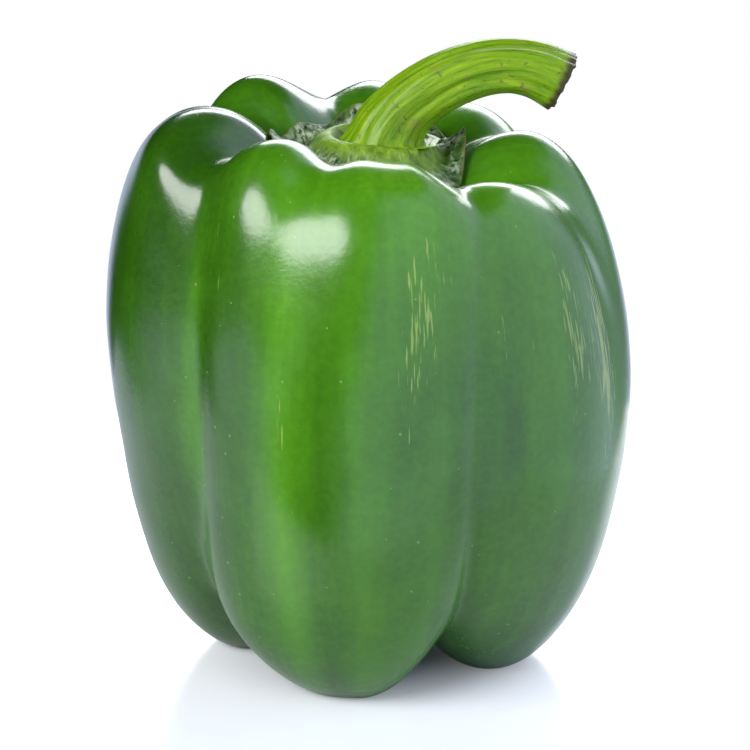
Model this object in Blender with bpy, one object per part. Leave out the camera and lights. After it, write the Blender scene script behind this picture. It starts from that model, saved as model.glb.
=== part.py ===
"""A green bell pepper that stands on the ends of its four lobes: fruit, calyx and stem.

The driving dimensions are in millimetres, and MM turns them into Blender's metres. +Z is up, the
origin is on the surface that the pepper stands on, under the middle of the fruit, and -Y is its front.
Azimuths are in degrees, counted from +X towards +Y.
"""

import math

import bmesh
import bpy
import numpy as np

MM = 0.001

# The fruit, from the middle of the basin at its top, out over the crest and down to the blossom end.
# Each row is one ring of the fruit: radius and height on a lobe's crown, radius and height in a furrow,
# how rounded the furrow's bottom is, and how narrow the furrow is.
RINGS = (
    (0.0, 84.5, 0.0, 84.5, 0.5, 2.0),
    (7.0, 84.5, 7.0, 84.5, 0.5, 2.0),
    (12.5, 85.5, 12.5, 85.3, 0.4, 2.0),
    (16.0, 90.0, 16.0, 87.8, 0.25, 2.5),
    (21.0, 95.0, 20.5, 91.0, 0.15, 3.0),
    (29.0, 96.5, 28.0, 92.0, 0.1, 3.4),
    (36.3, 92.0, 34.0, 87.0, 0.1, 3.4),
    (40.8, 82.5, 37.5, 78.5, 0.15, 3.4),
    (43.2, 69.5, 39.7, 67.0, 0.2, 3.4),
    (44.0, 57.0, 40.3, 55.5, 0.25, 3.4),
    (43.2, 44.5, 39.7, 44.0, 0.25, 3.4),
    (41.5, 32.0, 37.6, 32.5, 0.2, 3.4),
    (39.6, 20.0, 35.0, 21.5, 0.12, 3.3),
    (36.0, 8.5, 30.5, 13.0, 0.1, 3.0),
    (27.0, -1.6, 23.0, 9.0, 0.1, 2.7),
    (16.5, -1.2, 15.0, 9.0, 0.12, 2.4),
    (10.0, 6.0, 9.0, 10.5, 0.3, 2.0),
    (5.0, 11.0, 5.0, 11.5, 0.5, 2.0),
    (0.0, 12.0, 0.0, 12.0, 0.5, 2.0),
)
LAST_RING = len(RINGS) - 1
# Places along the rings that the sizes below refer to, counted from the first ring.
CREST = 4.5
SHOULDER = 6.5
BELLY = 9.0
FOOT = 14.0

# Each lobe's crown: its azimuth, then how far it stands off the rings above: the shoulder's radius, the
# belly's radius, the height of the belly's widest place, and the foot's radius.
LOBES = {
    "front": (-98.0, 0.0, -1.0, -2.0, -2.0),
    "right": (-13.0, -1.5, 1.0, -7.0, -0.4),
    "back": (69.0, -1.0, -1.0, 0.0, -1.0),
    "left": (174.0, 0.0, 0.0, 2.0, -2.0),
}
# The two humps of each lobe's crest, and flanks that fall away from them: azimuth, then how far the top
# stands off the rings above.
HUMPS = {
    "front_left": (-134.0, 0.5),
    "front_right": (-77.0, -4.0),
    "right_front": (-52.0, -9.8),
    "right_flank": (-28.0, -11.2),
    "right_back": (17.0, -5.0),
    "back_right": (47.0, -5.0),
    "back_left": (94.0, -1.5),
    "left_back": (131.0, 1.5),
    "left_side": (173.0, -2.0),
    "left_front": (-166.0, 0.2),
    "left_flank": (-147.0, -3.0),
}
# Each main furrow between two lobes: its azimuth at the crest, belly and foot, then its share of the full
# depth at the same three places.
FURROWS = {
    "front_right": (-57.0, -65.0, -61.0, 0.2, 0.45, 1.0),
    "right_back": (33.0, 31.0, 33.0, 1.0, 0.6, 1.0),
    "back_left": (107.0, 110.0, 110.0, 1.0, 0.6, 1.0),
    "left_front": (-141.5, -134.0, -150.0, 1.0, 0.8, 1.0),
}
# Each dent in the shoulder of one lobe: its azimuth at the crest and at the belly, its depth in mm and its
# half width in degrees.
DENTS = {
    "front": (-106.0, -111.0, 3.0, 10.0),
    "right": (-10.0, -14.0, 3.5, 12.0),
    "back": (70.0, 70.0, 3.0, 13.0),
    "left": (152.0, 150.0, 5.5, 10.0),
}
# A dent goes this much of its depth into the side of the shoulder.
DENT_SIDE_SHARE = 0.6
# Where a flank stands out: its azimuth and ring, how far it stands out in mm, its half width in degrees and
# its reach in rings.
SWELLS = {
    "left_flank": (-152.0, 5.9, 3.4, 13.0, 2.0),
}
# Where the skin stands up: its azimuth and ring, how far it stands up in mm, and its half width and reach.
LIFTS = {
    "left_flank": (-152.0, 6.0, 3.6, 12.0, 1.5),
    "right_front": (-44.0, 5.2, 2.6, 20.0, 1.3),
}
FRUIT_COLUMNS = 84
FRUIT_ROWS = 40

# The calyx, a thin cup that lies in the basin round the stem.
CALYX_RADIUS = 15.5
CALYX_EDGE_THICKNESS = 1.2
# A flat pad in the calyx's middle carries the stem: its height and radius, and where it has died away.
PAD_HEIGHT = 88.6
PAD_RADIUS = 8.0
PAD_FOOT_RADIUS = 12.5
# Each sepal's point: its azimuth, how far it reaches past the edge, how far it lifts off the fruit, and its
# half width in degrees.
SEPALS = (
    (98.0, 0.5, 3.8, 14.0),
    (124.0, -1.0, 0.2, 18.0),
    (48.0, 0.8, 2.2, 15.0),
    (14.0, 1.0, 3.8, 18.0),
    (-46.0, 1.5, 0.6, 20.0),
    (-100.0, 1.5, 0.4, 20.0),
    (-160.0, 1.0, 0.8, 22.0),
    (158.0, 1.5, 0.6, 18.0),
)
# A sepal starts to lift at this share of the calyx's radius.
LIFT_START = 0.7
CALYX_COLUMNS = 60
CALYX_ROWS = 16

# Pieces that touch keep this gap.
GAP = 0.4

# The stem's middle line, from the pad to the cut, with its radius at each point.
STEM = (
    (2.0, 0.0, PAD_HEIGHT + GAP, 7.2),
    (2.0, 0.0, 90.8, 6.3),
    (4.8, 0.0, 94.6, 5.2),
    (9.8, 0.0, 98.3, 4.9),
    (15.5, 0.0, 100.9, 4.7),
    (21.5, 0.0, 102.1, 4.5),
    (27.5, 0.0, 101.4, 4.7),
    (32.0, 0.0, 99.0, 5.1),
)

# The azimuths and radii above go round an axis that stands a little beside the middle of the fruit's box.
AXIS_X = -0.3
AXIS_Y = 0.2


def turn_between(azimuths, centre):
    """Degrees from centre to each azimuth, the short way round."""
    return (azimuths - centre + 180.0) % 360.0 - 180.0


def ease(part):
    """0 to 1 for part from 0 to 1, level at both ends."""
    return part * part * (3.0 - 2.0 * part)


def zone_share(ring, centre, reach):
    """1 at one ring, falling smoothly to 0 at reach rings from it."""
    away = min(abs(ring - centre) / reach, 1.0)
    return 0.5 + 0.5 * math.cos(math.pi * away)


def along(ring, crest, belly, foot):
    """A value that goes smoothly from the crest to the belly and on to the foot, at one ring."""
    if ring <= BELLY:
        return crest + (belly - crest) * zone_share(ring, BELLY, BELLY - CREST)
    return foot + (belly - foot) * zone_share(ring, BELLY, FOOT - BELLY)


def fold(azimuths, ring):
    """0 on the crown of each lobe, rising to 1 in the bottom of each main furrow, at one ring."""
    rounding, narrowness = RINGS[ring][4:]
    crowns = [lobe[0] for lobe in LOBES.values()]
    total = np.zeros_like(azimuths)
    for furrow in FURROWS.values():
        azimuth, depth = along(ring, *furrow[:3]), along(ring, *furrow[3:])
        turn = turn_between(azimuths, azimuth)
        sides = [float(turn_between(np.array(crown), azimuth)) for crown in crowns]
        before = -max(side for side in sides if side < 0)
        after = min(side for side in sides if side > 0)
        away = np.hypot(turn / np.where(turn < 0, before, after), rounding)
        notch = np.clip(1.0 - away, 0.0, 1.0) ** narrowness
        total += depth * notch / (1.0 - rounding) ** narrowness
    return total


def around(azimuths, places, column):
    """One column of a table of places round the fruit at each azimuth, going smoothly from place to place."""
    order = sorted(places.values())
    first = order[0][0]
    values = np.array([place[column] for place in order] + [order[0][column]])
    stops = [place[0] - first for place in order] + [360.0]
    where = np.interp((azimuths - first) % 360.0, stops, range(len(stops)))
    lower = np.minimum(where.astype(int), len(order) - 1)
    upper_share = ease(where - lower)
    return values[lower] * (1.0 - upper_share) + values[lower + 1] * upper_share


def spots(azimuths, ring, places):
    """The sum of soft spots at one ring: each with an azimuth, a ring, a size, a half width and a reach."""
    total = np.zeros_like(azimuths)
    for azimuth, middle, size, half_width, reach in places.values():
        near = np.exp(-((turn_between(azimuths, azimuth) / half_width) ** 2))
        total += size * near * zone_share(ring, middle, reach)
    return total


def ring_outline(azimuths, ring):
    """Radius and height of one ring at each azimuth, in mm."""
    crown_radius, crown_height, furrow_radius, furrow_height = RINGS[ring][:4]
    share = fold(azimuths, ring)
    radius = crown_radius + (furrow_radius - crown_radius) * share
    height = crown_height + (furrow_height - crown_height) * share
    crest = zone_share(ring, CREST, 4.0)
    belly = zone_share(ring, BELLY, 5.0)
    height += crest * around(azimuths, HUMPS, 1)
    radius += zone_share(ring, SHOULDER, 3.0) * around(azimuths, LOBES, 1)
    radius += belly * around(azimuths, LOBES, 2)
    height += belly * around(azimuths, LOBES, 3)
    radius += zone_share(ring, FOOT, 4.0) * around(azimuths, LOBES, 4)
    for crest_azimuth, belly_azimuth, depth, half_width in DENTS.values():
        azimuth = along(ring, crest_azimuth, belly_azimuth, belly_azimuth)
        dent = depth * np.exp(-((turn_between(azimuths, azimuth) / half_width) ** 2))
        height -= crest * dent
        radius -= DENT_SIDE_SHARE * zone_share(ring, SHOULDER, 3.5) * dent
    radius += spots(azimuths, ring, SWELLS)
    height += spots(azimuths, ring, LIFTS)
    return np.stack((radius, height), axis=-1)


def spline_weights(part):
    """The four weights of a uniform cubic B-spline, at part of the way from one point to the next."""
    return (
        (1.0 - part) ** 3 / 6.0,
        (3.0 * part**3 - 6.0 * part**2 + 4.0) / 6.0,
        (-3.0 * part**3 + 3.0 * part**2 + 3.0 * part + 1.0) / 6.0,
        part**3 / 6.0,
    )


def from_axis(azimuths, radius, height):
    """Points at each azimuth, radius and height round the fruit's axis."""
    turn = np.radians(azimuths)
    return np.stack((radius * np.cos(turn), radius * np.sin(turn), height), axis=-1)


def fruit_skin(azimuths, down):
    """Points of the fruit in mm. down runs from 0 in the middle of the basin to 1 at the blossom end."""
    rings = [ring_outline(azimuths, ring) for ring in range(len(RINGS))]
    across = np.array((-1.0, 1.0))
    outlines = np.array([rings[1] * across, *rings, rings[-2] * across])
    place = down * LAST_RING
    lower = np.minimum(place.astype(int), LAST_RING - 1)
    columns = np.arange(len(azimuths))
    outline = sum(
        weight[:, None] * outlines[lower + step, columns]
        for step, weight in enumerate(spline_weights(place - lower))
    )
    # The lowest part of each foot is flat, where it rests.
    return from_axis(azimuths, outline[:, 0], np.maximum(outline[:, 1], 0.0))


def basin_height(azimuths, radii):
    """Height of the fruit's skin in the basin, at each azimuth and radius."""
    downs = np.linspace(0.0, CREST / LAST_RING, 60)
    walls = np.array([fruit_skin(azimuths, np.full(len(azimuths), down)) for down in downs])
    reach = np.hypot(walls[:, :, 0], walls[:, :, 1])
    columns = zip(radii, reach.T, walls[:, :, 2].T)
    return np.array([np.interp(radius, wall_reach, wall) for radius, wall_reach, wall in columns])


def sepal_share(azimuths, column):
    """One column of SEPALS at each azimuth: all of it at a sepal's point, none between the sepals."""
    total = np.zeros_like(azimuths)
    for sepal in SEPALS:
        total += sepal[column] * np.exp(-((turn_between(azimuths, sepal[0]) / sepal[3]) ** 2))
    return total


def calyx_skin(azimuths, polar):
    """Points of the calyx in mm. polar is in degrees, 0 in the middle of its top and 90 at its edge."""
    out = np.sin(np.radians(polar))
    radius = out * (CALYX_RADIUS + sepal_share(azimuths, 1))
    floor = basin_height(azimuths, radius) + GAP
    lift = sepal_share(azimuths, 2) * np.clip((out - LIFT_START) / (1.0 - LIFT_START), 0.0, 1.0) ** 2
    pad = ease(np.clip((PAD_FOOT_RADIUS - radius) / (PAD_FOOT_RADIUS - PAD_RADIUS), 0.0, 1.0))
    thickness = CALYX_EDGE_THICKNESS + pad * (PAD_HEIGHT - floor - CALYX_EDGE_THICKNESS)
    top_share = np.sqrt(np.maximum(np.cos(np.radians(polar)), 0.0))
    # The pad is flat, so it has its whole thickness before the edge rounds off.
    top_share = top_share + (1.0 - top_share) * pad * (polar < 90.0)
    return from_axis(azimuths, radius, floor + lift + top_share * thickness)


def plain_material(name, colour, roughness):
    """A Principled material with one colour."""
    material = bpy.data.materials.new(name)
    material.use_nodes = True
    shader = material.node_tree.nodes["Principled BSDF"]
    shader.inputs["Base Color"].default_value = (*colour, 1.0)
    shader.inputs["Roughness"].default_value = roughness
    shader.inputs["Metallic"].default_value = 0.0
    return material


def sphere(columns, rows):
    """A sphere to be shaped, with each point's azimuth and its angle from the upper pole, in degrees."""
    shape = bmesh.new()
    bmesh.ops.create_uvsphere(shape, u_segments=columns, v_segments=rows, radius=1.0)
    points = np.array([point.co for point in shape.verts])
    azimuths = np.degrees(np.arctan2(points[:, 1], points[:, 0]))
    return shape, azimuths, np.degrees(np.arccos(np.clip(points[:, 2], -1.0, 1.0)))


def add_shape(name, shape, places, material):
    """A named object from a bmesh, with its points moved to places, in mm from the foot of the axis."""
    for point, place in zip(shape.verts, (places + (AXIS_X, AXIS_Y, 0.0)) * MM):
        point.co = place
    mesh = bpy.data.meshes.new(name)
    shape.to_mesh(mesh)
    shape.free()
    mesh.shade_smooth()
    mesh.materials.append(material)
    bpy.context.collection.objects.link(bpy.data.objects.new(name, mesh))


def make_fruit():
    """The fruit: one closed skin round its axis."""
    shape, azimuths, polar = sphere(FRUIT_COLUMNS, FRUIT_ROWS)
    skin = plain_material("green_skin", (0.07, 0.24, 0.03), 0.3)
    add_shape("fruit", shape, fruit_skin(azimuths, polar / 180.0), skin)


def make_calyx():
    """The calyx: the sphere's upper half is its top, and the lower half its underside."""
    shape, azimuths, polar = sphere(CALYX_COLUMNS, CALYX_ROWS)
    sepals = plain_material("dark_green_sepals", (0.09, 0.16, 0.05), 0.6)
    add_shape("calyx", shape, calyx_skin(azimuths, polar), sepals)


def make_stem():
    """The stem: a tube along its middle line, flared where it leaves the calyx and cut off square."""
    curve = bpy.data.curves.new("stem", "CURVE")
    curve.dimensions = "3D"
    curve.bevel_depth = MM
    curve.bevel_resolution = 4
    curve.use_fill_caps = True
    line = curve.splines.new("NURBS")
    line.points.add(len(STEM) - 1)
    line.order_u = 4
    line.use_endpoint_u = True
    line.resolution_u = 4
    for point, (x, y, z, radius) in zip(line.points, STEM):
        point.co = ((x + AXIS_X) * MM, (y + AXIS_Y) * MM, z * MM, 1.0)
        point.radius = radius
    curve.materials.append(plain_material("yellow_green_stem", (0.33, 0.45, 0.05), 0.45))
    bpy.context.collection.objects.link(bpy.data.objects.new("stem", curve))


for piece in list(bpy.data.objects):
    bpy.data.objects.remove(piece)
make_fruit()
make_calyx()
make_stem()
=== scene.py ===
"""A green bell pepper that stands on a white table: its fruit, its calyx and its cut stem.

Sizes are in millimetres round the fruit's axis, and fit_to_node turns them into metres at their node's
place. +Z is up and -Y is the front. Azimuths are in degrees, counted from +X towards +Y.
"""

import math

import bmesh
import bpy
import numpy as np
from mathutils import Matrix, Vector, noise


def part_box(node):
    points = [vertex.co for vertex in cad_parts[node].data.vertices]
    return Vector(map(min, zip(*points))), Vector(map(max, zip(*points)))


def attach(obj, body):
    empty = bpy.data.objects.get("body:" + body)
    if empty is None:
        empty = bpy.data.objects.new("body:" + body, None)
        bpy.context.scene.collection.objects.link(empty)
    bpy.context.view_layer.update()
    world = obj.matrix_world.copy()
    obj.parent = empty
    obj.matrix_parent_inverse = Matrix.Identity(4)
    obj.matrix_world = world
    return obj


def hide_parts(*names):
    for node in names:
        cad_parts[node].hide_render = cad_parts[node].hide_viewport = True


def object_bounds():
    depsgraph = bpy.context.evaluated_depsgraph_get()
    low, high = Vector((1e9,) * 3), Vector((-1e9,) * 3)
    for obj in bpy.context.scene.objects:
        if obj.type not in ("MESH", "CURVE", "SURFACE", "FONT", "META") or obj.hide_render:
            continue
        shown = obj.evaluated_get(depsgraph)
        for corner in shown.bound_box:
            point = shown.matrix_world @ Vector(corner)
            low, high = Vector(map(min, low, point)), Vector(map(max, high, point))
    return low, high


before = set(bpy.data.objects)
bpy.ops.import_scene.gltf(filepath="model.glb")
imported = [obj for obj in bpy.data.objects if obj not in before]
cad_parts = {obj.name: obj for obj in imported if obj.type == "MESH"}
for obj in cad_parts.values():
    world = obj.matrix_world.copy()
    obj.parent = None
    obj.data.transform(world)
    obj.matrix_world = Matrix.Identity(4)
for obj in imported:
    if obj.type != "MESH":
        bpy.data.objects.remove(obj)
cad_size = [list(corner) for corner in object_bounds()]

# ---------------------------------------------------------------------------------------------------------
# The fruit: a hollow berry of four lobes, a thick waxed skin over juicy flesh. It grows in one piece from
# the calyx: a basin round it, a crest of humps, and four feet round the scar of the old flower.

# The rings of the fruit, from the middle of the basin at its top, over the crest and down to the blossom
# end. Each row is a radius and a height on a lobe's crown, a radius and a height in a furrow, how rounded
# the furrow's bottom is, and how narrow the furrow is.
RINGS = (
    (0.0, 84.5, 0.0, 84.5, 0.5, 2.0),
    (7.0, 84.5, 7.0, 84.5, 0.5, 2.0),
    (12.5, 85.5, 12.5, 85.3, 0.4, 2.0),
    (16.0, 90.0, 16.0, 87.8, 0.25, 2.5),
    (21.0, 95.0, 20.5, 91.0, 0.15, 3.0),
    (29.0, 96.5, 28.0, 92.0, 0.1, 3.4),
    (36.3, 92.0, 34.0, 87.0, 0.1, 3.4),
    (40.8, 82.5, 37.5, 78.5, 0.15, 3.4),
    (43.2, 69.5, 39.7, 67.0, 0.2, 3.4),
    (44.0, 57.0, 40.3, 55.5, 0.25, 3.4),
    (43.2, 44.5, 39.7, 44.0, 0.25, 3.4),
    (41.5, 32.0, 37.6, 32.5, 0.2, 3.4),
    (39.6, 20.0, 35.0, 21.5, 0.12, 3.3),
    (36.0, 8.5, 30.5, 13.0, 0.1, 3.0),
    (27.0, -1.6, 23.0, 9.0, 0.1, 2.7),
    (16.5, -1.2, 15.0, 9.0, 0.12, 2.4),
    (10.0, 6.0, 9.0, 10.5, 0.3, 2.0),
    (5.0, 11.0, 5.0, 11.5, 0.5, 2.0),
    (0.0, 12.0, 0.0, 12.0, 0.5, 2.0),
)
LAST_RING = len(RINGS) - 1
# Places along the rings that the sizes below refer to, counted from the first ring.
CREST = 4.5
SHOULDER = 6.5
BELLY = 9.0
FOOT = 14.0

# Each lobe's crown: its azimuth, then how far it stands off the rings above: the shoulder's radius, the
# belly's radius, the height of the belly's widest place, and the foot's radius.
LOBES = {
    "front": (-98.0, 0.0, -1.0, -2.0, -2.0),
    "right": (-13.0, -1.5, 1.0, -7.0, -0.4),
    "back": (69.0, -1.0, -1.0, 0.0, -1.0),
    "left": (174.0, 0.0, 0.0, 2.0, -2.0),
}
# The two humps of each lobe's crest, and a flank that falls away from one: azimuth, then how far its top
# stands off the rings above.
HUMPS = {
    "front_left": (-134.0, 0.5),
    "front_right": (-77.0, -4.0),
    "right_front": (-52.0, -9.8),
    "right_flank": (-28.0, -11.2),
    "right_back": (17.0, -5.0),
    "back_right": (47.0, -5.0),
    "back_left": (94.0, -1.5),
    "left_back": (131.0, 1.5),
    "left_side": (173.0, -2.0),
    "left_front": (-166.0, 0.2),
    "left_flank": (-147.0, -3.0),
}
# Each main furrow between two lobes: its azimuth at the crest, belly and foot, then its share of the full
# depth at the same three places.
FURROWS = {
    "front_right": (-57.0, -65.0, -61.0, 0.2, 0.45, 1.0),
    "right_back": (33.0, 31.0, 33.0, 1.0, 0.6, 1.0),
    "back_left": (107.0, 110.0, 110.0, 1.0, 0.6, 1.0),
    "left_front": (-141.5, -134.0, -150.0, 1.0, 0.8, 1.0),
}
# Each dent in the shoulder of one lobe: its azimuth at the crest and at the belly, its depth in mm and its
# half width in degrees.
DENTS = {
    "front": (-106.0, -111.0, 3.0, 10.0),
    "right": (-10.0, -14.0, 3.5, 12.0),
    "back": (70.0, 70.0, 3.0, 13.0),
    "left": (152.0, 150.0, 5.5, 10.0),
}
# A dent goes this much of its depth into the side of the shoulder.
DENT_SIDE_SHARE = 0.6
# The crease along the bottom of each main furrow: its depth in mm at the crest, belly and foot, and its
# half width in degrees.
CREASES = {
    "front_right": (0.9, 1.0, 1.6, 2.8),
    "right_back": (0.8, 0.8, 1.5, 3.5),
    "back_left": (0.8, 0.8, 1.5, 3.5),
    "left_front": (0.3, 0.8, 2.6, 4.6),
}
# Where a flank stands out: its azimuth and ring, how far it stands out in mm, its half width in degrees
# and its reach in rings.
SWELLS = {
    "left_flank": (-152.0, 5.9, 3.4, 13.0, 2.0),
}
# Where the skin stands up: its azimuth and ring, how far it stands up in mm, and its half width and reach.
LIFTS = {
    "left_flank": (-152.0, 6.0, 3.6, 12.0, 1.5),
    "right_front": (-44.0, 5.2, 2.6, 20.0, 1.3),
}
# How pale the skin is, from 0 for the deepest green to 1 for yellow-green: an azimuth, then the tone at
# the crest, belly and foot.
TONES = {
    "left": (-168.0, 0.0, 0.04, 0.06),
    "left_front_furrow": (-136.0, 0.2, 0.22, 0.2),
    "front_left": (-123.0, 0.6, 0.24, 0.28),
    "front_pale": (-109.0, 0.78, 0.7, 0.5),
    "front_deep": (-101.0, 0.8, 0.62, 0.34),
    "front_middle": (-88.0, 0.84, 0.46, 0.54),
    "front_right": (-76.0, 0.92, 0.46, 0.58),
    "front_right_furrow": (-62.0, 0.84, 0.42, 0.46),
    "right_front": (-46.0, 0.66, 0.46, 0.2),
    "right": (-26.0, 0.6, 0.5, 0.2),
    "right_back": (10.0, 0.64, 0.5, 0.4),
    "back": (69.0, 0.5, 0.4, 0.4),
    "back_left": (112.0, 0.36, 0.4, 0.36),
    "left_back": (150.0, 0.34, 0.3, 0.2),
}
# Narrow bands that are paler or deeper than the skin round them: azimuth and ring of the middle, how much
# paler, half width in degrees and reach in rings.
BANDS = {
    "front_yellow": (-110.0, 9.4, 0.13, 3.6, 4.2),
    "front_shade": (-101.0, 9.4, -0.12, 2.6, 3.0),
    # Painted reflection: this pale band down the left front furrow stands in for the bright line of light
    # that the furrow reflects.
    "furrow_painted_reflection": (-136.0, 9.0, 0.4, 3.6, 3.6),
    # Painted shade: this deeper band beside the front right furrow stands in for a strip where the skin
    # reflects less light.
    "right_painted_shade": (-57.0, 9.0, -0.12, 4.0, 2.6),
    "flank_shade": (-129.0, 9.6, -0.16, 4.0, 1.6),
    "right_shoulder": (-43.0, 6.4, 0.12, 7.0, 1.6),
}
# Where clusters of pale dashes lie: azimuth and ring of the middle, how many, half width in degrees and
# reach in rings.
FLECKS = {
    "front_right": (-80.0, 8.3, 0.9, 3.6, 1.3),
    "front_right_high": (-76.0, 7.2, 0.7, 6.0, 1.2),
    "right": (-38.0, 7.9, 1.05, 4.0, 1.7),
    "right_side": (-27.0, 8.2, 1.1, 5.0, 2.2),
    "right_front": (-57.5, 7.9, 0.6, 2.4, 1.0),
    "front_pale": (-110.0, 8.9, 0.6, 3.0, 1.4),
    "front_left": (-128.0, 7.4, 0.55, 3.0, 1.2),
    "back": (60.0, 8.0, 0.8, 7.0, 2.4),
    "back_left": (120.0, 7.6, 0.7, 6.0, 2.0),
    "left_back": (160.0, 8.4, 0.5, 6.0, 2.0),
}
# Small scars: azimuth, angle from the upper pole in degrees, and half width in mm.
SCARS = (
    (-61.0, 52.0, 0.7),
    (-124.0, 139.0, 1.0),
    (-121.5, 141.0, 0.8),
    (-136.0, 76.0, 0.4),
    (25.0, 96.0, 0.9),
    (145.0, 118.0, 0.7),
)
# The scar of the old flower starts at this angle from the upper pole, and is whole this much further on.
END_SCAR = 172.0
END_SCAR_EDGE = 3.0
FRUIT_COLUMNS = 96
FRUIT_ROWS = 60
FRUIT_CUTS = 3

# The skin's grain is laid out on a tube of this radius in mm, and goes down it this far for each degree
# from the upper pole. It changes far less down than across, so its streaks run down from the stem.
GRAIN_RADIUS = 42.0
GRAIN_PACE = 0.09

# The skin's gentle unevenness: how long each wave is and how far it stands in or out, in mm.
WAVES = ((26.0, 0.45), (11.0, 0.14))

# The skin's colours from the deepest to the palest, each with its tone.
SKIN_GREENS = (
    (0.0, (0.02, 0.084, 0.003, 1.0)),
    (0.28, (0.034, 0.132, 0.004, 1.0)),
    (0.55, (0.055, 0.2, 0.005, 1.0)),
    (0.82, (0.08, 0.275, 0.007, 1.0)),
    (1.0, (0.13, 0.34, 0.012, 1.0)),
)
FLECK_YELLOW = (0.36, 0.5, 0.1, 1.0)
SCAR_TAN = (0.34, 0.25, 0.08, 1.0)
DOT_PALE = (0.26, 0.42, 0.1, 1.0)


def turn_between(azimuths, centre):
    """Degrees from centre to each azimuth, the short way round."""
    return (azimuths - centre + 180.0) % 360.0 - 180.0


def ease(part):
    """0 to 1 for part from 0 to 1, level at both ends."""
    return part * part * (3.0 - 2.0 * part)


def zone_share(ring, centre, reach):
    """1 at one ring, falling smoothly to 0 at reach rings from it."""
    away = min(abs(ring - centre) / reach, 1.0)
    return 0.5 + 0.5 * math.cos(math.pi * away)


def along(ring, crest, belly, foot):
    """A value that goes smoothly from the crest to the belly and on to the foot, at one ring."""
    if ring <= BELLY:
        return crest + (belly - crest) * zone_share(ring, BELLY, BELLY - CREST)
    return foot + (belly - foot) * zone_share(ring, BELLY, FOOT - BELLY)


def fold(azimuths, ring):
    """0 on the crown of each lobe, rising to 1 in the bottom of each main furrow, at one ring."""
    rounding, narrowness = RINGS[ring][4:]
    crowns = [lobe[0] for lobe in LOBES.values()]
    total = np.zeros_like(azimuths)
    for furrow in FURROWS.values():
        azimuth, depth = along(ring, *furrow[:3]), along(ring, *furrow[3:])
        turn = turn_between(azimuths, azimuth)
        sides = [float(turn_between(np.array(crown), azimuth)) for crown in crowns]
        before = -max(side for side in sides if side < 0)
        after = min(side for side in sides if side > 0)
        away = np.hypot(turn / np.where(turn < 0, before, after), rounding)
        notch = np.clip(1.0 - away, 0.0, 1.0) ** narrowness
        total += depth * notch / (1.0 - rounding) ** narrowness
    return total


def around(azimuths, places, column):
    """One column of a table of places round the fruit at each azimuth, smooth from place to place."""
    order = sorted(places.values())
    first = order[0][0]
    values = np.array([place[column] for place in order] + [order[0][column]])
    stops = [place[0] - first for place in order] + [360.0]
    where = np.interp((azimuths - first) % 360.0, stops, range(len(stops)))
    lower = np.minimum(where.astype(int), len(order) - 1)
    upper_share = ease(where - lower)
    return values[lower] * (1.0 - upper_share) + values[lower + 1] * upper_share


def spots(azimuths, ring, places):
    """The sum of soft spots at one ring. Each has an azimuth, a ring, a size, a half width and a reach."""
    total = np.zeros_like(azimuths)
    for azimuth, middle, size, half_width, reach in places.values():
        across = np.exp(-((turn_between(azimuths, azimuth) / half_width) ** 2))
        total += size * across * zone_share(ring, middle, reach)
    return total


def ring_outline(azimuths, ring):
    """Radius and height in mm, tone and flecks of one ring at each azimuth."""
    crown_radius, crown_height, furrow_radius, furrow_height = RINGS[ring][:4]
    share = fold(azimuths, ring)
    radius = crown_radius + (furrow_radius - crown_radius) * share
    height = crown_height + (furrow_height - crown_height) * share
    crest = zone_share(ring, CREST, 4.0)
    belly = zone_share(ring, BELLY, 5.0)
    height += crest * around(azimuths, HUMPS, 1)
    radius += zone_share(ring, SHOULDER, 3.0) * around(azimuths, LOBES, 1)
    radius += belly * around(azimuths, LOBES, 2)
    height += belly * around(azimuths, LOBES, 3)
    radius += zone_share(ring, FOOT, 4.0) * around(azimuths, LOBES, 4)
    for crest_azimuth, belly_azimuth, depth, half_width in DENTS.values():
        azimuth = along(ring, crest_azimuth, belly_azimuth, belly_azimuth)
        dent = depth * np.exp(-((turn_between(azimuths, azimuth) / half_width) ** 2))
        height -= crest * dent
        radius -= DENT_SIDE_SHARE * zone_share(ring, SHOULDER, 3.5) * dent
    for name, (crest_depth, belly_depth, foot_depth, half_width) in CREASES.items():
        turn = turn_between(azimuths, along(ring, *FURROWS[name][:3]))
        depth = along(ring, crest_depth, belly_depth, foot_depth) * zone_share(ring, BELLY, 8.0) ** 0.5
        radius -= depth * np.exp(-((turn / half_width) ** 2))
    radius += spots(azimuths, ring, SWELLS)
    height += spots(azimuths, ring, LIFTS)
    tone = along(ring, *(around(azimuths, TONES, column) for column in (1, 2, 3)))
    # The bands hold a painted reflection and a painted shade as well as real paler and deeper green.
    tone += spots(azimuths, ring, BANDS)
    return np.stack((radius, height, tone, spots(azimuths, ring, FLECKS)), axis=-1)


def spline_weights(part):
    """The four weights of a uniform cubic B-spline, at part of the way from one point to the next."""
    return (
        (1.0 - part) ** 3 / 6.0,
        (3.0 * part**3 - 6.0 * part**2 + 4.0) / 6.0,
        (-3.0 * part**3 + 3.0 * part**2 + 3.0 * part + 1.0) / 6.0,
        part**3 / 6.0,
    )


def from_axis(azimuths, radius, height):
    """Points at each azimuth, radius and height round the fruit's axis."""
    turn = np.radians(azimuths)
    return np.stack((radius * np.cos(turn), radius * np.sin(turn), height), axis=-1)


def fruit_outline(azimuths, down):
    """What ring_outline gives, anywhere on the skin. down is 0 in the basin and 1 at the blossom end."""
    columns, column = np.unique(np.round(azimuths, 4), return_inverse=True)
    rings = [ring_outline(columns, ring) for ring in range(len(RINGS))]
    # Past each end the rings come back on the axis's other side.
    across = np.array((-1.0, 1.0, 1.0, 1.0))
    outlines = np.array([rings[1] * across, *rings, rings[-2] * across])
    place = down * LAST_RING
    lower = np.minimum(place.astype(int), LAST_RING - 1)
    return sum(
        weight[:, None] * outlines[lower + step, column]
        for step, weight in enumerate(spline_weights(place - lower))
    )


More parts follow.
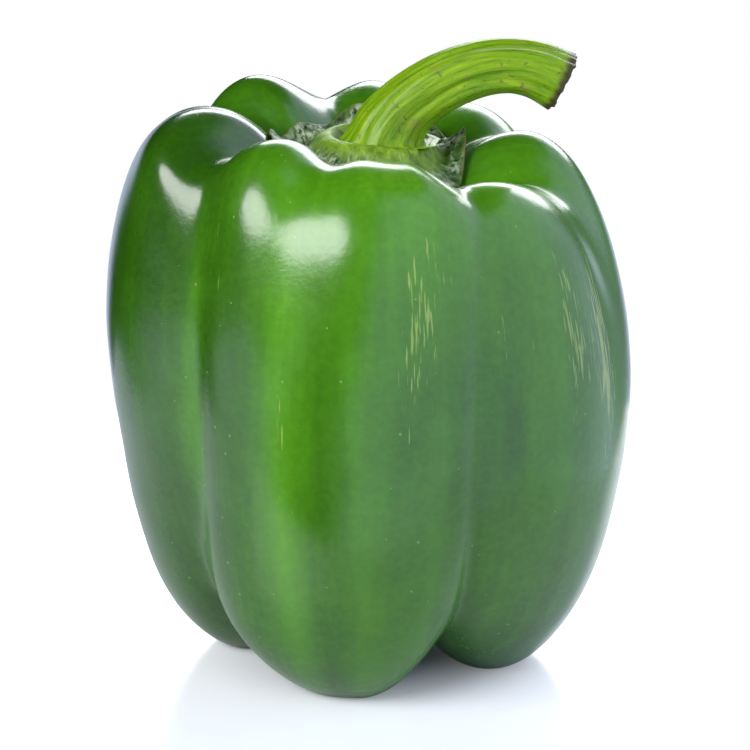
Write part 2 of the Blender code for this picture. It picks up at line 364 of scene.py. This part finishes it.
def unevenness(points, waves):
    """How far the skin stands out at each point, in mm: smooth noise of several wave lengths."""
    total = np.zeros(len(points))
    for length, height in waves:
        places = points / length
        total += height * np.array([noise.noise(place) for place in places])
    return total


def ball(columns, rows, cuts):
    """A closed ball as a bmesh, with the azimuth and polar angle of each of its points, in degrees."""
    shape = bmesh.new()
    bmesh.ops.create_uvsphere(shape, u_segments=columns, v_segments=rows, radius=1.0)
    bmesh.ops.subdivide_edges(shape, edges=shape.edges, cuts=cuts, use_grid_fill=True)
    points = np.array([point.co.normalized() for point in shape.verts])
    azimuths = np.degrees(np.arctan2(points[:, 1], points[:, 0]))
    polar = np.degrees(np.arccos(np.clip(points[:, 2], -1.0, 1.0)))
    return shape, azimuths, polar


def fit_to_node(places, node):
    """Places in mm brought to metres, so that together they just fill that CAD node's box."""
    low, high = (np.array(corner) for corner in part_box(node))
    own_low, own_high = places.min(axis=0), places.max(axis=0)
    return low + (places - own_low) * (high - low) / (own_high - own_low)


def add_piece(name, shape, places, material, node, marks):
    """A smooth piece made of a bmesh with its points at places, that stands for a CAD node.

    marks are named numbers for each point, which the material reads.
    """
    for point, place in zip(shape.verts, fit_to_node(places, node)):
        point.co = place
    # Every face looks outward.
    if shape.calc_volume(signed=True) < 0.0:
        bmesh.ops.reverse_faces(shape, faces=shape.faces)
    mesh = bpy.data.meshes.new(name)
    shape.to_mesh(mesh)
    shape.free()
    mesh.shade_smooth()
    for mark, values in marks.items():
        kind, field = ("FLOAT", "value") if values.ndim == 1 else ("FLOAT_VECTOR", "vector")
        mesh.attributes.new(mark, kind, "POINT").data.foreach_set(field, values.astype(np.float32).ravel())
    mesh.materials.append(material)
    piece = bpy.data.objects.new(name, mesh)
    bpy.context.collection.objects.link(piece)
    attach(piece, "root")
    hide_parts(node)
    return piece


def new_tree(name):
    """The node tree of a new material, emptied."""
    material = bpy.data.materials.new(name)
    material.use_nodes = True
    material.node_tree.nodes.clear()
    return material, material.node_tree


def add_node(tree, kind, inputs, **settings):
    """A node in the tree. inputs are plain values, or the sockets that feed it."""
    made = tree.nodes.new(kind)
    for name, value in settings.items():
        setattr(made, name, value)
    for name, value in inputs.items():
        if isinstance(value, bpy.types.NodeSocket):
            tree.links.new(value, made.inputs[name])
        else:
            made.inputs[name].default_value = value
    return made


def ramp(tree, value, low, high, rise=(0.0, 1.0)):
    """A value that goes smoothly from rise[0] at low to rise[1] at high."""
    inputs = {"Value": value, "From Min": low, "From Max": high, "To Min": rise[0], "To Max": rise[1]}
    return add_node(tree, "ShaderNodeMapRange", inputs, interpolation_type="SMOOTHSTEP").outputs[0]


def math_node(tree, operation, *values):
    """A Math node's result."""
    return add_node(tree, "ShaderNodeMath", dict(enumerate(values)), operation=operation).outputs[0]


def blend(tree, share, first, second):
    """One colour laid over another by a share from 0 to 1."""
    return add_node(tree, "ShaderNodeMix", {0: share, 6: first, 7: second}, data_type="RGBA").outputs[2]


def mark(tree, name, output="Fac"):
    """A mark that the piece's mesh carries."""
    return add_node(tree, "ShaderNodeAttribute", {}, attribute_name=name).outputs[output]


def noise_node(tree, vector, scale, detail=2.0, roughness=0.5):
    """Noise of that many waves for each unit of the vector."""
    inputs = {"Vector": vector, "Scale": scale, "Detail": detail, "Roughness": roughness}
    return add_node(tree, "ShaderNodeTexNoise", inputs).outputs[0]


def finish_material(tree, surface):
    """Joins the tree's surface to its output."""
    add_node(tree, "ShaderNodeOutputMaterial", {"Surface": surface.outputs[0]})


def stops(tree, value, colours):
    """A colour that goes smoothly through colours, each of which comes with the value it stands at."""
    made = add_node(tree, "ShaderNodeValToRGB", {0: value})
    marks = made.color_ramp.elements
    while len(marks) < len(colours):
        marks.new(0.5)
    for at, (position, colour) in enumerate(colours):
        marks[at].position = position
        marks[at].color = colour
    return made.outputs[0]


def skin_material(scars):
    """Waxed green skin: a clear gloss over green that pales in bands, with specks and a fine grain. One pale
    band is a painted reflection and one deeper band a painted shade.
    """
    material, tree = new_tree("waxed_green_skin")
    place = add_node(tree, "ShaderNodeTexCoord", {}).outputs["Object"]
    grain = mark(tree, "grain", "Vector")
    # The tone wanders in soft patches and in streaks that run down from the stem.
    patches = noise_node(tree, place, 75.0, 3.0, 0.55)
    streaks = noise_node(tree, grain, 0.16, 3.0, 0.6)
    fine = noise_node(tree, place, 800.0, 2.0, 0.6)
    tone = math_node(tree, "ADD", mark(tree, "tone"), ramp(tree, patches, 0.3, 0.7, (-0.07, 0.07)))
    tone = math_node(tree, "ADD", tone, ramp(tree, streaks, 0.3, 0.7, (-0.09, 0.09)))
    tone = math_node(tree, "ADD", tone, ramp(tree, fine, 0.3, 0.7, (-0.05, 0.05)))
    # The tone mark carries the bands' painted reflection and painted shade into the colour.
    colour = stops(tree, tone, SKIN_GREENS)
    # Pale dashes lie in clusters, and pale dots all over.
    dashes = noise_node(tree, grain, 2.1, 2.0, 0.6)
    level = math_node(tree, "MULTIPLY_ADD", mark(tree, "flecks"), -0.36, 0.75)
    over = math_node(tree, "SUBTRACT", dashes, level)
    colour = blend(tree, ramp(tree, over, 0.0, 0.08, (0.0, 0.62)), colour, FLECK_YELLOW)
    cells = add_node(tree, "ShaderNodeTexVoronoi", {"Vector": place, "Scale": 300.0, "Randomness": 1.0})
    size = ramp(tree, noise_node(tree, place, 60.0), 0.35, 0.65, (0.03, 0.075))
    dot = math_node(tree, "LESS_THAN", cells.outputs["Distance"], size)
    colour = blend(tree, math_node(tree, "MULTIPLY", dot, 0.5), colour, DOT_PALE)
    # Dry scars, and the corky scar of the old flower underneath.
    ragged = ramp(tree, fine, 0.3, 0.7, (0.5, 1.5))
    dry = mark(tree, "end")
    for centre, size in scars:
        away = add_node(tree, "ShaderNodeVectorMath", {0: place, 1: centre}, operation="DISTANCE")
        away = math_node(tree, "MULTIPLY", away.outputs["Value"], ragged)
        dry = math_node(tree, "MAXIMUM", dry, ramp(tree, away, 0.5 * size, size, (0.8, 0.0)))
    colour = blend(tree, dry, colour, SCAR_TAN)
    peel = noise_node(tree, place, 1150.0, 2.0)
    bump = add_node(tree, "ShaderNodeBump", {"Height": peel, "Strength": 0.5, "Distance": 0.00006})
    surface = add_node(tree, "ShaderNodeBsdfPrincipled", {
        "Base Color": colour,
        "Roughness": ramp(tree, patches, 0.3, 0.7, (0.22, 0.27)),
        "Coat Weight": 0.3,
        "Coat Roughness": 0.16,
        "Normal": bump.outputs[0],
    })
    finish_material(tree, surface)
    return material


def make_fruit():
    """The fruit, one closed skin round its axis."""
    shape, azimuths, polar = ball(FRUIT_COLUMNS, FRUIT_ROWS, FRUIT_CUTS)
    outline = fruit_outline(azimuths, polar / 180.0)
    places = from_axis(azimuths, outline[:, 0], outline[:, 1])
    outward = from_axis(azimuths, np.sin(np.radians(polar)), np.cos(np.radians(polar)))
    places += outward * unevenness(places, WAVES)[:, None]
    # The lowest part of each foot is flat, where it rests.
    places[:, 2] = np.maximum(places[:, 2], 0.0)
    marks = {
        "tone": outline[:, 2],
        "flecks": outline[:, 3],
        "end": ease(np.clip((polar - END_SCAR) / END_SCAR_EDGE, 0.0, 1.0)),
        "grain": from_axis(azimuths, np.full_like(polar, GRAIN_RADIUS), GRAIN_PACE * polar),
    }
    fitted = fit_to_node(places, "fruit")
    scars = []
    for azimuth, angle, size in SCARS:
        nearest = np.argmin(np.abs(turn_between(azimuths, azimuth)) + np.abs(polar - angle))
        scars.append((tuple(fitted[nearest]), size * 0.001))
    add_piece("fruit_skin", shape, places, skin_material(scars), "fruit", marks)


make_fruit()

# ---------------------------------------------------------------------------------------------------------
# The calyx: the wrinkled green cup of the old flower, grown on to the fruit in the basin round the stem.

CALYX_RADIUS = 15.5
CALYX_EDGE_THICKNESS = 1.2
# A flat pad in the calyx's middle carries the stem: its height and radius, and where it has died away.
PAD_HEIGHT = 88.6
PAD_RADIUS = 8.0
PAD_FOOT_RADIUS = 12.5
# Each sepal's point: its azimuth, how far it reaches past the edge, how far it lifts off the fruit, and
# its half width in degrees.
SEPALS = (
    (98.0, 0.5, 3.8, 14.0),
    (124.0, -1.0, 0.2, 18.0),
    (48.0, 0.8, 2.2, 15.0),
    (14.0, 1.0, 3.8, 18.0),
    (-46.0, 1.5, 0.6, 20.0),
    (-100.0, 1.5, 0.4, 20.0),
    (-160.0, 1.0, 0.8, 22.0),
    (158.0, 1.5, 0.6, 18.0),
)
# Round the stem the calyx swells into a collar: where its middle is, its radius and height, and how far it
# falls away inwards and outwards, in mm.
COLLAR_X = 2.0
COLLAR_RADIUS = 8.3
COLLAR_HEIGHT = 2.0
COLLAR_INNER = 0.8
COLLAR_OUTER = 3.0
# How far from the stem's middle the calyx is as pale as the stem, in mm.
PAD_EDGE = 12.0
# The calyx's wrinkles: how long each wave is and how far it stands up, in mm.
CALYX_WAVES = ((3.2, 0.3), (1.5, 0.22))
# Its veins run out from the stem: the grain that they follow is laid out on a tube of this radius, and
# goes along it by this share of the way out. Each set of veins has a spacing and a strength, each set is
# shifted by this much against the one before, and they stand this high in mm.
VEIN_RADIUS = 11.0
VEIN_PACE = 0.6
VEINS = ((3.4, 1.0), (1.9, 0.8))
VEIN_SHIFT = 7.0
VEIN_HEIGHT = 0.7
# The wrinkles fade in over this distance in mm outside the pad. Near the edge they are weaker by this share,
# over this half width in degrees.
WRINKLE_START = 2.5
EDGE_CALM = 0.7
EDGE_CALM_WIDTH = 14.0
# The dry rim's half width in degrees, and the distance in mm over which the pale part round the stem fades.
RIM_WIDTH = 7.0
PAD_FADE = 3.0
# A sepal starts to lift at this share of the calyx's radius.
LIFT_START = 0.7
CALYX_COLUMNS = 80
CALYX_ROWS = 32
CALYX_CUTS = 2
# Pieces that touch keep this gap.
GAP = 0.4


def basin_height(azimuths, radii):
    """Height of the fruit's skin in the basin, at each azimuth and radius."""
    downs = np.linspace(0.0, CREST / LAST_RING, 60)
    columns, column = np.unique(np.round(azimuths, 3), return_inverse=True)
    walls = np.array([fruit_outline(columns, np.full(len(columns), down)) for down in downs])
    reach, heights = np.abs(walls[:, :, 0]), walls[:, :, 1]
    return np.array([np.interp(radius, reach[:, at], heights[:, at]) for radius, at in zip(radii, column)])


def sepal_share(azimuths, column):
    """One column of SEPALS at each azimuth: all of it at a sepal's point, none between the sepals."""
    total = np.zeros_like(azimuths)
    for sepal in SEPALS:
        total += sepal[column] * np.exp(-((turn_between(azimuths, sepal[0]) / sepal[3]) ** 2))
    return total


def calyx_places(azimuths, polar):
    """Points of the calyx in mm. polar is in degrees, 0 in the middle of its top and 90 at its edge."""
    out = np.sin(np.radians(polar))
    radius = out * (CALYX_RADIUS + sepal_share(azimuths, 1))
    floor = basin_height(azimuths, radius) + GAP
    lift = sepal_share(azimuths, 2) * np.clip((out - LIFT_START) / (1.0 - LIFT_START), 0.0, 1.0) ** 2
    pad = ease(np.clip((PAD_FOOT_RADIUS - radius) / (PAD_FOOT_RADIUS - PAD_RADIUS), 0.0, 1.0))
    thickness = CALYX_EDGE_THICKNESS + pad * (PAD_HEIGHT - floor - CALYX_EDGE_THICKNESS)
    top_share = np.sqrt(np.maximum(np.cos(np.radians(polar)), 0.0))
    # The pad is flat, so it has its whole thickness before the edge rounds off.
    top_share = top_share + (1.0 - top_share) * pad * (polar < 90.0)
    return from_axis(azimuths, radius, floor + lift + top_share * thickness)


def ridges(points, length):
    """1 on the ridge lines of a crumpled sheet and 0 between them."""
    waves = np.array([noise.noise(point) for point in points / length])
    return np.clip(1.0 - 5.0 * np.abs(waves), 0.0, 1.0)


def calyx_material():
    """Crumpled green sepals with silvery veins, brown along their edges, paler round the stem's foot."""
    material, tree = new_tree("wrinkled_green_sepal")
    place = add_node(tree, "ShaderNodeTexCoord", {}).outputs["Object"]
    grain = mark(tree, "grain", "Vector")
    patches = noise_node(tree, grain, 0.9, 4.0, 0.65)
    colour = stops(tree, patches, (
        (0.36, (0.008, 0.03, 0.004, 1.0)),
        (0.48, (0.035, 0.1, 0.012, 1.0)),
        (0.6, (0.08, 0.17, 0.025, 1.0)),
        (0.7, (0.2, 0.31, 0.08, 1.0)),
    ))
    threads = noise_node(tree, grain, 2.2, 3.0, 0.6)
    silver = math_node(tree, "MULTIPLY", mark(tree, "vein"), ramp(tree, threads, 0.42, 0.58))
    colour = blend(tree, silver, colour, (0.5, 0.58, 0.38, 1.0))
    mottle = noise_node(tree, place, 520.0, 4.0, 0.65)
    fresh = stops(tree, mottle, (
        (0.34, (0.1, 0.21, 0.01, 1.0)), (0.5, (0.2, 0.36, 0.012, 1.0)), (0.66, (0.32, 0.48, 0.06, 1.0)),
    ))
    colour = blend(tree, mark(tree, "pad"), colour, fresh)
    worn = ramp(tree, noise_node(tree, place, 300.0, 2.0, 0.6), 0.35, 0.6, (0.35, 1.0))
    dry = math_node(tree, "MULTIPLY", mark(tree, "rim"), worn)
    colour = blend(tree, dry, colour, (0.22, 0.14, 0.05, 1.0))
    bump = add_node(tree, "ShaderNodeBump", {"Height": patches, "Strength": 0.8, "Distance": 0.0005})
    surface = add_node(tree, "ShaderNodeBsdfPrincipled", {
        "Base Color": colour,
        "Roughness": 0.45,
        "Specular IOR Level": 0.35,
        "Normal": bump.outputs[0],
    })
    finish_material(tree, surface)
    return material


def make_calyx():
    """The calyx: the sphere's upper half is its top, and the lower half its underside."""
    shape, azimuths, polar = ball(CALYX_COLUMNS, CALYX_ROWS, CALYX_CUTS)
    places = calyx_places(azimuths, polar)
    radius = np.hypot(places[:, 0], places[:, 1])
    # The wrinkles run from the stem to the edge, and only the top side outside the pad has them.
    spread = from_axis(azimuths, np.full_like(radius, VEIN_RADIUS), radius * VEIN_PACE)
    outer = ease(np.clip((radius - PAD_RADIUS) / WRINKLE_START, 0.0, 1.0)) * (polar < 92.0)
    outer *= 1.0 - EDGE_CALM * np.exp(-(((polar - 90.0) / EDGE_CALM_WIDTH) ** 2))
    vein = np.zeros_like(outer)
    for order, (spacing, strength) in enumerate(VEINS):
        vein = np.maximum(vein, strength * ridges(spread + VEIN_SHIFT * order, spacing))
    vein *= outer
    places[:, 2] += outer * (VEIN_HEIGHT * vein + unevenness(places, CALYX_WAVES))
    from_stem = np.hypot(places[:, 0] - COLLAR_X, places[:, 1])
    off_collar = from_stem - COLLAR_RADIUS
    fall = np.where(off_collar < 0.0, COLLAR_INNER, COLLAR_OUTER)
    places[:, 2] += COLLAR_HEIGHT * np.exp(-((off_collar / fall) ** 2)) * (polar < 80.0)
    marks = {
        "vein": vein,
        "rim": np.exp(-(((polar - 88.0) / RIM_WIDTH) ** 2)),
        "pad": ease(np.clip((PAD_EDGE - from_stem) / PAD_FADE, 0.0, 1.0)),
        "grain": spread,
    }
    add_piece("calyx_cup", shape, places, calyx_material(), "calyx", marks)


make_calyx()

# ---------------------------------------------------------------------------------------------------------
# The stem: the ribbed, juicy stalk that the pepper hung from, bent over and cut off with a knife.

# The stem's middle line, from the pad to the cut, with its radius at each point.
STEM_LINE = (
    (2.0, 0.0, PAD_HEIGHT + GAP, 7.2),
    (2.0, 0.0, 90.8, 6.3),
    (4.8, 0.0, 94.6, 5.2),
    (9.8, 0.0, 98.3, 4.9),
    (15.5, 0.0, 100.9, 4.7),
    (21.5, 0.0, 102.1, 4.5),
    (27.5, 0.0, 101.4, 4.7),
    (32.0, 0.0, 99.0, 5.1),
)
# The ribs along the stem: how many go round it, how high they stand in mm, how far they twist from one end
# to the other and where they start, in radians.
STEM_RIBS = ((5, 0.2, 0.3, 0.4), (9, 0.16, -0.4, 1.9), (19, 0.08, 0.3, 0.0))
# How much wider the stem is where it grows out of the calyx, and where along it that ends.
STEM_FLARE = 0.25
STEM_FLARE_END = 0.12
# The torn cut face: its tears' length and height, and how far its middle lies behind its edge, in mm.
TEAR_LENGTH = 1.1
TEAR_HEIGHT = 0.55
FACE_HOLLOW = 0.5
STEM_COLUMNS = 54
STEM_ROWS = 54
STEM_CUTS = 2
# Shares of the rows that make the stem's foot and its cut face.
STEM_FOOT_ROWS = 0.06
STEM_FACE_ROWS = 0.12
# The stem's grain is laid out on a tube of this radius, and goes this far along it from end to end.
STEM_GRAIN_RADIUS = 5.0
STEM_GRAIN_PACE = 4.0
# How far along the stem its direction is measured over, to each side.
STEM_STEP = 0.001


def stem_line(part):
    """Points of the stem's middle line and its radius, for part from 0 at the pad to 1 at the cut."""
    line = np.array(STEM_LINE)
    line = np.vstack((2.0 * line[0] - line[1], line, 2.0 * line[-1] - line[-2]))
    place = part * (len(STEM_LINE) - 1)
    lower = np.minimum(place.astype(int), len(STEM_LINE) - 2)
    return sum(
        weight[:, None] * line[lower + step] for step, weight in enumerate(spline_weights(place - lower))
    )


def stem_places(azimuths, polar):
    """Points of the stem in mm. The ball's poles are the middles of the stem's foot and its cut face."""
    down = polar / 180.0
    foot = np.clip(down / STEM_FOOT_ROWS, 0.0, 1.0)
    face = np.clip((1.0 - down) / STEM_FACE_ROWS, 0.0, 1.0)
    part = np.clip((down - STEM_FOOT_ROWS) / (1.0 - STEM_FOOT_ROWS - STEM_FACE_ROWS), 0.0, 1.0)
    middle = stem_line(part)
    past, short = np.minimum(part + STEM_STEP, 1.0), np.maximum(part - STEM_STEP, 0.0)
    ahead = stem_line(past)[:, :3] - stem_line(short)[:, :3]
    ahead /= np.linalg.norm(ahead, axis=1)[:, None]
    side = np.array((0.0, 1.0, 0.0))
    rise = np.cross(ahead, side)
    turn = np.radians(azimuths)[:, None]
    ribs = sum(
        height * np.cos(count * (turn[:, 0] + twist * part) + start)
        for count, height, twist, start in STEM_RIBS
    )
    flare = 1.0 + STEM_FLARE * np.clip(1.0 - part / STEM_FLARE_END, 0.0, 1.0) ** 2
    radius = ((middle[:, 3] + ribs * np.minimum(face, 1.0)) * np.minimum(foot, face))[:, None]
    places = middle[:, :3] + radius * (flare[:, None] * np.cos(turn) * rise - np.sin(turn) * side)
    # The cut face is torn, and stands a little proud round its edge.
    torn = TEAR_HEIGHT * np.array([noise.noise(place) for place in places / TEAR_LENGTH])
    places += ahead * ((face < 1.0) * (torn - FACE_HOLLOW * (1.0 - face)))[:, None]
    return places, part, face


def stem_material():
    """A ribbed yellow-green stalk with pale streaks and brown specks, dark round its brown torn end."""
    material, tree = new_tree("ribbed_green_stalk")
    place = add_node(tree, "ShaderNodeTexCoord", {}).outputs["Object"]
    grain = mark(tree, "grain", "Vector")
    tone = noise_node(tree, grain, 1.5, 5.0, 0.68)
    colour = stops(tree, tone, (
        (0.3, (0.07, 0.17, 0.003, 1.0)),
        (0.42, (0.15, 0.31, 0.005, 1.0)),
        (0.54, (0.21, 0.385, 0.006, 1.0)),
        (0.66, (0.29, 0.46, 0.012, 1.0)),
        (0.8, (0.5, 0.62, 0.04, 1.0)),
    ))
    specks = noise_node(tree, place, 900.0, 2.0, 0.6)
    colour = blend(tree, ramp(tree, specks, 0.62, 0.7, (0.0, 0.75)), colour, (0.14, 0.13, 0.03, 1.0))
    stains = noise_node(tree, place, 230.0, 3.0, 0.6)
    colour = blend(tree, ramp(tree, stains, 0.6, 0.7, (0.0, 0.6)), colour, (0.28, 0.22, 0.05, 1.0))
    # The end darkens before the cut, more in some streaks than in others.
    ending = math_node(tree, "ADD", mark(tree, "part"), ramp(tree, tone, 0.3, 0.7, (-0.009, 0.009)))
    colour = blend(tree, ramp(tree, ending, 0.945, 0.985), colour, (0.06, 0.05, 0.016, 1.0))
    fibres = noise_node(tree, place, 1500.0, 3.0, 0.7)
    wood = stops(tree, fibres, (
        (0.35, (0.03, 0.018, 0.008, 1.0)), (0.5, (0.2, 0.12, 0.04, 1.0)), (0.68, (0.5, 0.38, 0.18, 1.0)),
    ))
    colour = blend(tree, mark(tree, "face"), colour, wood)
    bump = add_node(tree, "ShaderNodeBump", {"Height": tone, "Strength": 0.5, "Distance": 0.0004})
    surface = add_node(tree, "ShaderNodeBsdfPrincipled", {
        "Base Color": colour,
        "Roughness": 0.36,
        "Specular IOR Level": 0.2,
        "Coat Weight": 0.14,
        "Coat Roughness": 0.14,
        "Normal": bump.outputs[0],
    })
    finish_material(tree, surface)
    return material


def make_stem():
    """The stem, a ball drawn out along the middle line."""
    shape, azimuths, polar = ball(STEM_COLUMNS, STEM_ROWS, STEM_CUTS)
    places, part, face = stem_places(azimuths, polar)
    marks = {
        "part": part,
        "face": 1.0 * (face < 0.97),
        "grain": from_axis(azimuths, np.full_like(part, STEM_GRAIN_RADIUS), STEM_GRAIN_PACE * part),
    }
    add_piece("stem_stalk", shape, places, stem_material(), "stem", marks)


make_stem()

# ---------------------------------------------------------------------------------------------------------
# The table: a smooth, faintly bluish white sheet, small enough that the sides of the pepper stay dark. It
# has a painted glow where the camera sees it, so that it fades into the white beyond it. The glow dies away
# near the pepper, which paints a shadow round its feet.

TABLE_LEFT = -0.16
TABLE_RIGHT = 0.1
TABLE_FRONT = -0.076
TABLE_BACK = 0.13
TABLE_DROP = 0.0001
# The sheet's painted glow, and between which distances from the pepper's axis it grows; nearer than that it
# is weaker, which paints a shadow round the feet.
TABLE_GLOW = 0.36
GLOW_START = 0.01
GLOW_FULL = 0.034


def make_table():
    """The table's top as one flat sheet just under the feet."""
    sheet = bmesh.new()
    bmesh.ops.create_grid(sheet, x_segments=1, y_segments=1, size=0.5)
    width, depth = TABLE_RIGHT - TABLE_LEFT, TABLE_BACK - TABLE_FRONT
    for point in sheet.verts:
        across, back = point.co.x + 0.5, point.co.y + 0.5
        point.co = (TABLE_LEFT + width * across, TABLE_FRONT + depth * back, -TABLE_DROP)
    mesh = bpy.data.meshes.new("table_top")
    sheet.to_mesh(mesh)
    sheet.free()
    material, tree = new_tree("smooth_white_sheet")
    place = add_node(tree, "ShaderNodeTexCoord", {}).outputs["Object"]
    away = add_node(tree, "ShaderNodeVectorMath", {0: place}, operation="LENGTH").outputs["Value"]
    # Painted glow, seen by the camera only, and weaker near the pepper so that it paints a shadow round its
    # feet.
    glow = ramp(tree, away, GLOW_START, GLOW_FULL, (0.0, TABLE_GLOW))
    seen = add_node(tree, "ShaderNodeLightPath", {}).outputs["Is Camera Ray"]
    surface = add_node(tree, "ShaderNodeBsdfPrincipled", {
        "Base Color": (0.78, 0.81, 0.88, 1.0),
        "Roughness": 0.2,
        "Emission Color": (1.0, 1.0, 1.0, 1.0),
        "Emission Strength": math_node(tree, "MULTIPLY", glow, seen),
    })
    finish_material(tree, surface)
    mesh.materials.append(material)
    table = bpy.data.objects.new("table_top", mesh)
    bpy.context.collection.objects.link(table)


make_table()

# ---------------------------------------------------------------------------------------------------------
# The light: a soft box at the upper left in front, a larger and fainter one behind, and the room round
# them, with a white wall on the right, a low card on the left and a bright backdrop.

low, high = (Vector(corner) for corner in cad_size)
MIDDLE = (low + high) / 2.0


def direction(azimuth, elevation):
    """The unit vector that points that way, both angles in degrees."""
    turn, rise = math.radians(azimuth), math.radians(elevation)
    return Vector((math.cos(turn) * math.cos(rise), math.sin(turn) * math.cos(rise), math.sin(rise)))


def add_soft_box(name, azimuth, elevation, distance, width, height, radiance, colour=(1.0, 1.0, 1.0)):
    """An area light that faces the pepper's middle; its brightness is given as it is seen."""
    light = bpy.data.lights.new(name, "AREA")
    light.shape = "ELLIPSE"
    light.size, light.size_y = width, height
    light.energy = radiance * math.pi * width * height * math.pi / 4.0
    light.color = colour
    lamp = bpy.data.objects.new(name, light)
    lamp.location = MIDDLE + distance * direction(azimuth, elevation)
    lamp.rotation_mode = "QUATERNION"
    lamp.rotation_quaternion = (-direction(azimuth, elevation)).to_track_quat("-Z", "Y")
    bpy.context.collection.objects.link(lamp)


def make_room():
    """The room, dark but for its wall, card and backdrop. The camera itself sees it plain white."""
    room = bpy.data.worlds.new("studio_room")
    bpy.context.scene.world = room
    room.use_nodes = True
    tree = room.node_tree
    tree.nodes.clear()
    view = add_node(tree, "ShaderNodeTexCoord", {}).outputs["Generated"]
    parts = add_node(tree, "ShaderNodeSeparateXYZ", {"Vector": view}).outputs
    # The wall's front edge leans, its top comes down towards the back, and it ends short of the back.
    leaning = math_node(tree, "MULTIPLY_ADD", parts["Z"], -0.3, parts["X"])
    sloping = math_node(tree, "MULTIPLY_ADD", parts["Y"], 0.35, parts["Z"])
    wall = ramp(tree, leaning, -0.14, 0.02)
    wall = math_node(tree, "MULTIPLY", wall, ramp(tree, sloping, 0.85, 0.95, (1.0, 0.0)))
    wall = math_node(tree, "MULTIPLY", wall, ramp(tree, parts["Y"], 0.6, 0.85, (1.0, 0.12)))
    # A low white card stands far off at the left.
    card = ramp(tree, parts["X"], -0.78, -0.62, (1.0, 0.0))
    card = math_node(tree, "MULTIPLY", card, ramp(tree, parts["Y"], -0.1, 0.55, (1.0, 0.0)))
    tilted = math_node(tree, "MULTIPLY_ADD", parts["Y"], 0.25, parts["Z"])
    card = math_node(tree, "MULTIPLY", card, ramp(tree, tilted, -0.22, -0.12, (1.0, 0.0)))
    card = math_node(tree, "MULTIPLY", card, ramp(tree, parts["Z"], -0.6, -0.5))
    # What lies straight behind, below the horizon, is the bright backdrop.
    behind = ramp(tree, parts["Y"], 0.84, 0.93)
    behind = math_node(tree, "MULTIPLY", behind, ramp(tree, parts["Z"], -0.16, -0.04, (1.0, 0.0)))
    wall = math_node(tree, "MAXIMUM", wall, behind)
    colour = blend(tree, wall, (0.0, 0.0, 0.0, 1.0), (0.66, 0.72, 1.0, 1.0))
    colour = blend(tree, card, colour, (0.78, 0.84, 1.0, 1.0))
    lit = add_node(tree, "ShaderNodeBackground", {"Color": colour, "Strength": 1.35})
    seen = add_node(tree, "ShaderNodeBackground", {"Color": (1.0, 1.0, 1.0, 1.0), "Strength": 1.0})
    ray = add_node(tree, "ShaderNodeLightPath", {}).outputs["Is Camera Ray"]
    both = add_node(tree, "ShaderNodeMixShader", {0: ray, 1: lit.outputs[0], 2: seen.outputs[0]})
    add_node(tree, "ShaderNodeOutputWorld", {"Surface": both.outputs[0]})


make_room()
add_soft_box("key_soft_box", -138.0, 31.5, 0.7, 0.6, 0.34, 10.5)
add_soft_box("back_soft_box", 78.0, 23.0, 1.2, 1.1, 0.6, 6.5, (0.94, 0.97, 1.0))

# ---------------------------------------------------------------------------------------------------------
# The camera: a long lens that looks slightly down at the front.

CAMERA_ELEVATION = 17.5
CAMERA_DISTANCE = 0.62
CAMERA_SENSOR = 36.0
# The width of what the camera sees at the pepper, and the point that it looks at.
FRAME_WIDTH = 0.1263
CAMERA_AIM = Vector((0.0009, 0.0002, 0.0485))


def make_camera():
    """The camera and the plain way that its picture is shown."""
    lens = bpy.data.cameras.new("camera")
    lens.sensor_width = CAMERA_SENSOR
    lens.lens = CAMERA_SENSOR * CAMERA_DISTANCE / FRAME_WIDTH
    camera = bpy.data.objects.new("camera", lens)
    back = direction(-90.0, CAMERA_ELEVATION)
    camera.location = CAMERA_AIM + CAMERA_DISTANCE * back
    camera.rotation_mode = "QUATERNION"
    camera.rotation_quaternion = (-back).to_track_quat("-Z", "Y")
    bpy.context.collection.objects.link(camera)
    bpy.context.scene.camera = camera
    bpy.context.scene.view_settings.view_transform = "Standard"


make_camera()
